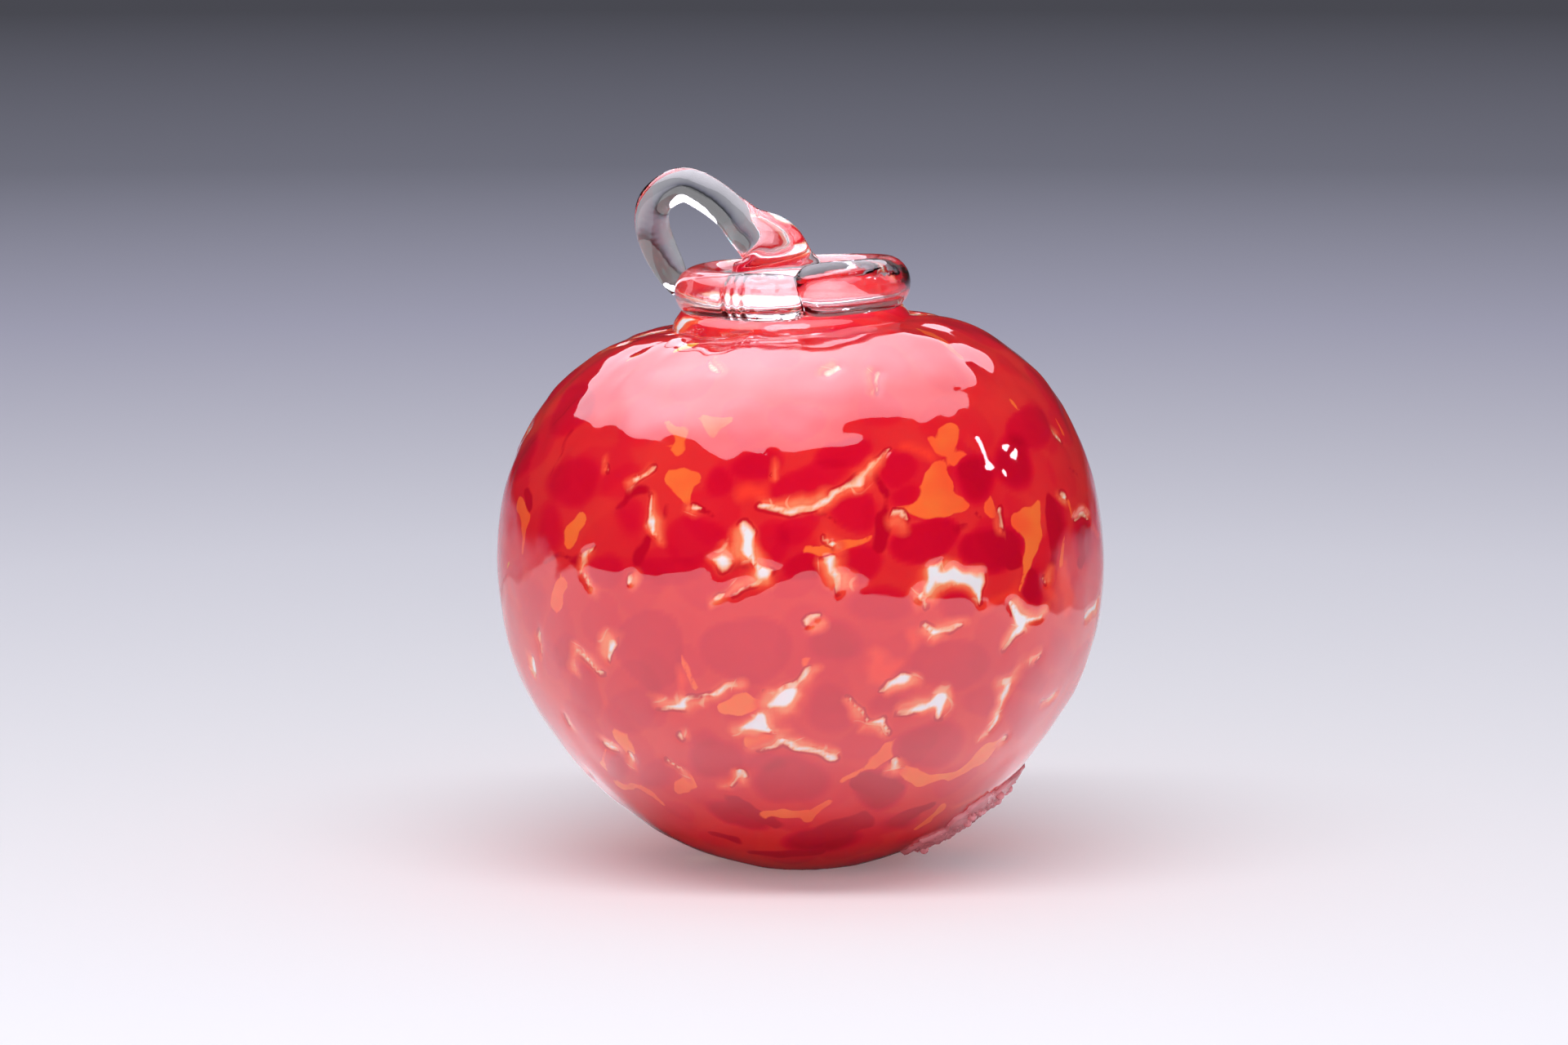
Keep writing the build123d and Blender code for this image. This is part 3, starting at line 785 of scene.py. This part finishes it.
class Graph:
    """Short ways to add and join shader nodes."""

    def __init__(self, tree):
        self.tree = tree
        tree.nodes.clear()

    def add(self, kind, **values):
        node = self.tree.nodes.new(kind)
        for name, value in values.items():
            setattr(node, name, value)
        return node

    def link(self, source, target):
        self.tree.links.new(source, target)

    def gloss(self):
        """One for a mirrored ray; a ray through clear glass counts as glossy too, so it is taken off."""
        path = self.add("ShaderNodeLightPath")
        clear = self.math("SUBTRACT", 1.0, path.outputs["Is Transmission Ray"])
        return self.math("MULTIPLY", path.outputs["Is Glossy Ray"], clear)

    def field(self, name):
        return self.add("ShaderNodeAttribute", attribute_name=name).outputs["Fac"]

    def math(self, operation, first, second):
        node = self.add("ShaderNodeMath", operation=operation)
        for socket, value in zip(node.inputs, (first, second)):
            if isinstance(value, (int, float)):
                socket.default_value = value
            else:
                self.link(value, socket)
        return node.outputs[0]

    def vector(self, operation, first, second=(0.0, 0.0, 0.0)):
        node = self.add("ShaderNodeVectorMath", operation=operation)
        self.link(first, node.inputs[0])
        node.inputs[1].default_value = second
        return node

    def step(self, value, low, high):
        node = self.add("ShaderNodeMapRange", interpolation_type="SMOOTHSTEP")
        self.link(value, node.inputs["Value"])
        node.inputs["From Min"].default_value = low
        node.inputs["From Max"].default_value = high
        return node.outputs["Result"]

    def noise(self, scale, detail=2.0):
        place = self.add("ShaderNodeTexCoord").outputs["Object"]
        node = self.add("ShaderNodeTexNoise")
        self.link(place, node.inputs["Vector"])
        node.inputs["Scale"].default_value = scale
        node.inputs["Detail"].default_value = detail
        return node.outputs["Fac"]

    def ramp(self, value, steps):
        node = self.add("ShaderNodeValToRGB")
        span = steps[-1][0]
        self.link(self.math("DIVIDE", value, span), node.inputs["Fac"])
        while len(node.color_ramp.elements) < len(steps):
            node.color_ramp.elements.new(1.0)
        for element, (place, colour) in zip(node.color_ramp.elements, steps):
            element.position = place / span
            element.color = (*colour, 1.0)
        return node.outputs["Color"]

    def mix(self, share, first, second):
        node = self.add("ShaderNodeMix", data_type="RGBA")
        self.link(share, node.inputs[0])
        for socket, value in ((node.inputs[6], first), (node.inputs[7], second)):
            if isinstance(value, tuple):
                socket.default_value = (*value, 1.0)
            else:
                self.link(value, socket)
        return node.outputs[2]

    def uneven(self, shader, distance, detail):
        """Slight unevenness of a shader's surface."""
        bump = self.add("ShaderNodeBump")
        bump.inputs["Strength"].default_value = 0.10
        bump.inputs["Distance"].default_value = distance
        self.link(self.noise(300, detail), bump.inputs["Height"])
        self.link(bump.outputs["Normal"], shader.inputs["Normal"])

    def surface(self, shader, output="ShaderNodeOutputMaterial"):
        self.link(shader.outputs[0], self.add(output).inputs["Surface"])


RED_STEPS = (
    (0.0, (0.84, 0.11, 0.050)),
    (0.35, (0.78, 0.036, 0.031)),
    (0.6, (0.72, 0.012, 0.028)),
    (0.9, (0.67, 0.003, 0.027)),
    (1.3, (0.60, 0.0005, 0.023)),
    (2.0, (0.46, 0.000, 0.017)),
)
# Deep crimson of overlapped chips, also used as painted shade
DEEP_RED_AND_SHADE = (0.54, 0.0005, 0.020)
THIN_RED = (0.88, 0.090, 0.045)
EMBER = (0.90, 0.055, 0.030)
ORANGE = (1.0, 0.185, 0.040)
ORANGE_RED = (1.0, 0.120, 0.035)
YELLOW = (0.95, 0.500, 0.015)
WARM = (0.95, 0.30, 0.14)
CREAM = (0.92, 0.50, 0.30)
WHITE = (0.86, 0.85, 0.87)
GLASS_IOR = 1.6
COAT_IOR = 1.7


def blank_material(name):
    """Material with an empty graph, and the graph's helper."""
    material = bpy.data.materials.new(name)
    material.use_nodes = True
    return material, Graph(material.node_tree)


def new_material(name):
    """Material with a main shader, the graph's helper and the shader."""
    material, graph = blank_material(name)
    shader = graph.add("ShaderNodeBsdfPrincipled")
    graph.surface(shader)
    return material, graph, shader


def chip_material():
    """Red, orange and yellow chips melted over white glass, with gaps between them; painted shade darkens a
    crease beside each gap, and thin painted glints run near the gaps.

    All fields but red are distances in millimetres inside chips and gaps, below zero outside. The dark field
    is deep crimson where chips overlap, and painted shade in creases beside gaps and along the bottom of the
    ball.
    """
    material, graph, shader = new_material("melted_chips")
    speckle = graph.noise(260, 3.0)
    cloud = graph.noise(90)
    uneven = graph.math("MULTIPLY", graph.math("SUBTRACT", cloud, 0.5), 0.5)
    colour = graph.ramp(graph.math("ADD", graph.field("red"), uneven), RED_STEPS)
    colour = graph.mix(graph.step(graph.field("ember"), -0.9, 0.9), colour, EMBER)
    # Dark strokes: deep crimson, partly painted shade in creases and along the bottom
    colour = graph.mix(graph.step(graph.field("dark"), -0.25, 0.35), colour, DEEP_RED_AND_SHADE)
    warm = graph.mix(graph.step(cloud, 0.4, 0.62), ORANGE, ORANGE_RED)
    colour = graph.mix(graph.step(graph.field("orange"), -0.12, 0.14), colour, warm)
    colour = graph.mix(graph.step(graph.field("yellow"), -0.15, 0.3), colour, YELLOW)
    fray = graph.math("MULTIPLY", graph.math("SUBTRACT", speckle, 0.5), 0.9)
    halo = graph.math("ADD", graph.field("halo"), fray)
    edge = graph.math("ADD", graph.field("window"), graph.math("MULTIPLY", fray, 0.3))
    colour = graph.mix(graph.step(halo, -0.9, 0.3), colour, THIN_RED)
    colour = graph.mix(graph.math("MULTIPLY", graph.step(halo, -0.2, 0.8), 0.85), colour, WARM)
    # Painted highlight: thin cream glint lines near the gaps
    painted_glint = graph.math("ABSOLUTE", graph.math("SUBTRACT", graph.noise(170, 0.5), 0.5), 0.0)
    painted_glint = graph.math("MULTIPLY", graph.step(painted_glint, 0.016, 0.004), graph.step(halo, -0.5, 0.3))
    colour = graph.mix(graph.math("MULTIPLY", painted_glint, 0.6), colour, CREAM)
    # Painted shade: a thin dark line in the crease on one side of each gap
    painted_crease_shade = graph.math("MULTIPLY", graph.step(edge, -0.5, -0.28), graph.step(halo, 0.15, -0.45))
    colour = graph.mix(graph.math("MULTIPLY", painted_crease_shade, 0.75), colour, DEEP_RED_AND_SHADE)
    colour = graph.mix(graph.step(edge, -0.18, 0.10), colour, CREAM)
    colour = graph.mix(graph.step(edge, 0.0, 0.38), colour, WHITE)
    graph.link(colour, shader.inputs["Base Color"])
    shader.inputs["Roughness"].default_value = 0.035
    shader.inputs["IOR"].default_value = COAT_IOR
    shader.inputs["Subsurface Weight"].default_value = 0.9
    shader.inputs["Subsurface Radius"].default_value = (1.0, 0.05, 0.05)
    shader.inputs["Subsurface Scale"].default_value = 0.028
    graph.uneven(shader, 0.0004, 1.5)
    return material


def clear_material():
    """Clear glass with a slightly uneven surface."""
    material, graph, shader = new_material("clear_glass")
    shader.inputs["Base Color"].default_value = (1.0, 1.0, 1.0, 1.0)
    shader.inputs["Roughness"].default_value = 0.0
    shader.inputs["IOR"].default_value = GLASS_IOR
    shader.inputs["Transmission Weight"].default_value = 1.0
    graph.uneven(shader, 0.0005, 2.0)
    return material


def rough_material():
    """Frosted glass of the broken patch."""
    material, graph, shader = new_material("rough_glass")
    grain = graph.noise(700, 3.0)
    shader.inputs["Base Color"].default_value = (0.95, 0.36, 0.40, 1.0)
    shader.inputs["IOR"].default_value = GLASS_IOR
    shader.inputs["Transmission Weight"].default_value = 0.35
    graph.link(graph.math("MULTIPLY", grain, 0.4), shader.inputs["Roughness"])
    return material


# Stage

# Lamps and cards, in metres; a glow is a distance from the heart and the strength there
LAMP_PLACE = (-0.10, -0.36, 0.82)
LAMP_SPAN = (1.30, 0.22)
LAMP_POWER = 4.15
FILL_PLACE = (0.0, -0.75, 0.60)
FILL_SPAN = (0.84, 0.84)
FILL_POWER = 3.2
CARD_CENTRE = Vector((-0.15, 0.55, 0.68))
CARD_SPAN = (0.75, 1.05)
CARD_COLOUR = (0.93, 0.88, 1.0)
CARD_HEART = (-0.2, 0.15, 0.68)
CARD_GLOW = ((0.1, 5.6), (0.75, 2.6))
SPARKS = (((0.76, 0.0, 0.46), (0.06, 0.045)), ((0.80, 0.06, 0.39), (0.09, 0.025)))
SPARK_GLOW = 14.0

# Floor colour by distance from the part, in metres; it darkens with distance as painted falloff of light
FLOOR_FALLOFF_STEPS = (
    (0.0, (0.90, 0.885, 0.92)),
    (0.3, (0.85, 0.84, 0.93)),
    (0.7, (0.60, 0.59, 0.735)),
    (1.2, (0.31, 0.31, 0.38)),
    (2.2, (0.14, 0.14, 0.165)),
)
FLOOR_HALF = 6.0

# White table painted as a glow on the floor that only gloss sees, a painted reflection: it ends at a tilted
# line, seen from the ball's centre, fades near the contact as painted shade, and fades behind the ball
PAINTED_TABLE_GLOW = 1.45
SHEEN_COLOUR = (1.0, 0.97, 1.05)
SHEEN_WAY = (-0.42, -0.906, 0.0)
SHEEN_SLOPE = 0.13
SHEEN_DROP = 0.095
SHEEN_EDGE = (-0.01, 0.015)
PAINTED_CONTACT_SHADE = (0.018, 0.042)
BEHIND_FADE = (0.0, 0.9)
BEHIND_LOSS = 0.45
AHEAD_FADE = (0.5, 0.1)

# Room light for matt surfaces, for gloss and through glass, and how much darker glass shows the floor
ROOM_COLOUR = (0.95, 0.96, 1.0)
AMBIENT = 0.485
ROOM_GLOW = 0.03
GLASS_ROOM = 0.16
GLASS_DIM = 0.5


def disc(name, centre, span, columns=64):
    """Flat oval that faces down."""
    rim = around(1.0, full_turn(columns), 0.0) * np.array([*span, 0.0])
    points = (rim + np.array(centre)) / MM
    return new_mesh(name, points, [tuple(reversed(range(columns)))], smooth=False)


def make_lamp(name, place, span, power, shadow):
    """Soft oval lamp that shines down, which gloss and glass don't show.

    A lamp without a shadow isn't found by bounced rays, because pieces in between would stop them.
    """
    data = bpy.data.lights.new(name, "AREA")
    data.shape = "ELLIPSE"
    data.size = span[0]
    data.size_y = span[1]
    data.energy = power
    data.use_shadow = shadow
    data.cycles.use_multiple_importance_sampling = shadow
    lamp = bpy.data.objects.new(name, data)
    lamp.location = place
    bpy.context.scene.collection.objects.link(lamp)
    lamp.visible_glossy = False
    lamp.visible_transmission = False


def make_card(name, centre, span):
    """Bright card that only gloss and glass show, with its graph and its light."""
    card = disc(name, centre, span)
    material, graph = blank_material(name)
    light = graph.add("ShaderNodeEmission")
    light.inputs["Color"].default_value = (*CARD_COLOUR, 1.0)
    graph.surface(light)
    card.data.materials.append(material)
    card.visible_camera = False
    card.visible_diffuse = False
    card.visible_shadow = False
    return card, graph, light


def make_softbox():
    """Large card, brightest near its heart."""
    card, graph, light = make_card("softbox", CARD_CENTRE, CARD_SPAN)
    place = graph.add("ShaderNodeNewGeometry").outputs["Position"]
    spread = graph.vector("DISTANCE", place, CARD_HEART).outputs["Value"]
    (near, bright), (far, dim) = CARD_GLOW
    gain = graph.math("MULTIPLY", graph.step(spread, far, near), bright - dim)
    graph.link(graph.math("ADD", gain, dim), light.inputs["Strength"])
    return card


def make_spark(number, centre, span):
    """Small card of even brightness."""
    card, _, light = make_card("spark_%d" % number, centre, span)
    light.inputs["Strength"].default_value = SPARK_GLOW
    return card


def make_floor():
    """Pale floor that takes the shadow, darker with distance as painted falloff of light; gloss sees it as a
    glowing white table with an edge, a painted reflection with painted shade near the contact.
    """
    corners = np.array([(-1, -1, 0), (1, -1, 0), (1, 1, 0), (-1, 1, 0)]) * FLOOR_HALF / MM
    floor = new_mesh("floor", corners, [(0, 1, 2, 3)], smooth=False)
    material, graph = blank_material("pale_floor")
    matt = graph.add("ShaderNodeBsdfDiffuse")
    place = graph.add("ShaderNodeNewGeometry").outputs["Position"]
    spread = graph.vector("LENGTH", place).outputs["Value"]
    through = graph.add("ShaderNodeLightPath").outputs["Is Transmission Ray"]
    # Floor colour darkens with distance: painted falloff of light
    dimmed = graph.vector("SCALE", graph.ramp(spread, FLOOR_FALLOFF_STEPS))
    loss = graph.math("MULTIPLY", through, GLASS_DIM)
    graph.link(graph.math("SUBTRACT", 1.0, loss), dimmed.inputs["Scale"])
    graph.link(dimmed.outputs[0], matt.inputs["Color"])
    offset = graph.vector("SUBTRACT", place, tuple(BALL_CENTRE * MM))
    way = graph.vector("NORMALIZE", offset.outputs[0]).outputs[0]
    rise = graph.add("ShaderNodeSeparateXYZ")
    graph.link(way, rise.inputs[0])
    towards = graph.vector("DOT_PRODUCT", way, SHEEN_WAY).outputs["Value"]
    tilt = graph.math("MULTIPLY", towards, SHEEN_SLOPE)
    limit = graph.math("SUBTRACT", tilt, SHEEN_DROP)
    white = graph.step(graph.math("SUBTRACT", limit, rise.outputs["Z"]), *SHEEN_EDGE)
    # Painted shade in the reflected table near the contact
    under = graph.step(spread, *PAINTED_CONTACT_SHADE)
    fading = graph.math("MULTIPLY", graph.step(rise.outputs["Y"], *BEHIND_FADE), BEHIND_LOSS)
    behind = graph.math("SUBTRACT", 1.0, fading)
    sheen = graph.math("MULTIPLY", graph.math("MULTIPLY", white, under), behind)
    level = graph.math("ADD", graph.math("MULTIPLY", sheen, PAINTED_TABLE_GLOW), ROOM_GLOW)
    # Glow of the painted table reflection, seen only by gloss
    glow = graph.add("ShaderNodeEmission")
    glow.inputs["Color"].default_value = (*SHEEN_COLOUR, 1.0)
    graph.link(level, glow.inputs["Strength"])
    both = graph.add("ShaderNodeMixShader")
    ahead = graph.step(rise.outputs["Y"], *AHEAD_FADE)
    table = graph.math("MULTIPLY", graph.math("MAXIMUM", white, ahead), graph.gloss())
    graph.link(table, both.inputs[0])
    graph.link(matt.outputs[0], both.inputs[1])
    graph.link(glow.outputs[0], both.inputs[2])
    graph.surface(both)
    floor.data.materials.append(material)
    return floor


def make_world():
    """Soft room light; gloss and glass see a darker room."""
    world = bpy.data.worlds.new("room")
    world.use_nodes = True
    graph = Graph(world.node_tree)
    back = graph.add("ShaderNodeBackground")
    through = graph.add("ShaderNodeLightPath").outputs["Is Transmission Ray"]
    dark = graph.math("MULTIPLY", graph.gloss(), ROOM_GLOW - AMBIENT)
    pale = graph.math("MULTIPLY", through, GLASS_ROOM - AMBIENT)
    graph.link(graph.math("ADD", graph.math("ADD", dark, pale), AMBIENT), back.inputs["Strength"])
    back.inputs["Color"].default_value = (*ROOM_COLOUR, 1.0)
    graph.surface(back, "ShaderNodeOutputWorld")
    bpy.context.scene.world = world


def make_camera():
    """Camera at the photograph's angle and framing."""
    data = bpy.data.cameras.new("camera")
    data.sensor_width = SENSOR_WIDTH
    data.lens = FOCAL_PIXELS / PHOTO_SIZE[0] * SENSOR_WIDTH
    middle = pixel_ray((PHOTO_SIZE[0] / 2, PHOTO_SIZE[1] / 2))
    camera = bpy.data.objects.new("camera", data)
    camera.location = Vector(camera_place * MM)
    camera.rotation_mode = "QUATERNION"
    camera.rotation_quaternion = Vector(middle).to_track_quat("-Z", "Y")
    bpy.context.scene.collection.objects.link(camera)
    bpy.context.scene.camera = camera


ball = make_ball()
ball.data.materials.append(chip_material())
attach(ball, "root")
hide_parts("core_bubble", "red_frit_coat", "orange_frit", "yellow_frit")

stem, wrap = make_cap()
clear = clear_material()
for piece, nodes in ((stem, ("neck_collar", "stem_seal", "stem_loop")), (wrap, ("lip_wrap",))):
    piece.data.materials.append(clear)
    piece.visible_shadow = False
    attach(piece, "root")
    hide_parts(*nodes)

mark = make_mark()
mark.data.materials.append(rough_material())
mark.visible_shadow = False
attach(mark, "root")
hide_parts("punty_mark")

make_lamp("key", LAMP_PLACE, LAMP_SPAN, LAMP_POWER, True)
make_lamp("fill", FILL_PLACE, FILL_SPAN, FILL_POWER, False)
card = make_softbox()
sparks = [make_spark(number, *spark) for number, spark in enumerate(SPARKS)]
floor = make_floor()
make_world()
make_camera()
bpy.context.scene.view_settings.view_transform = "Standard"
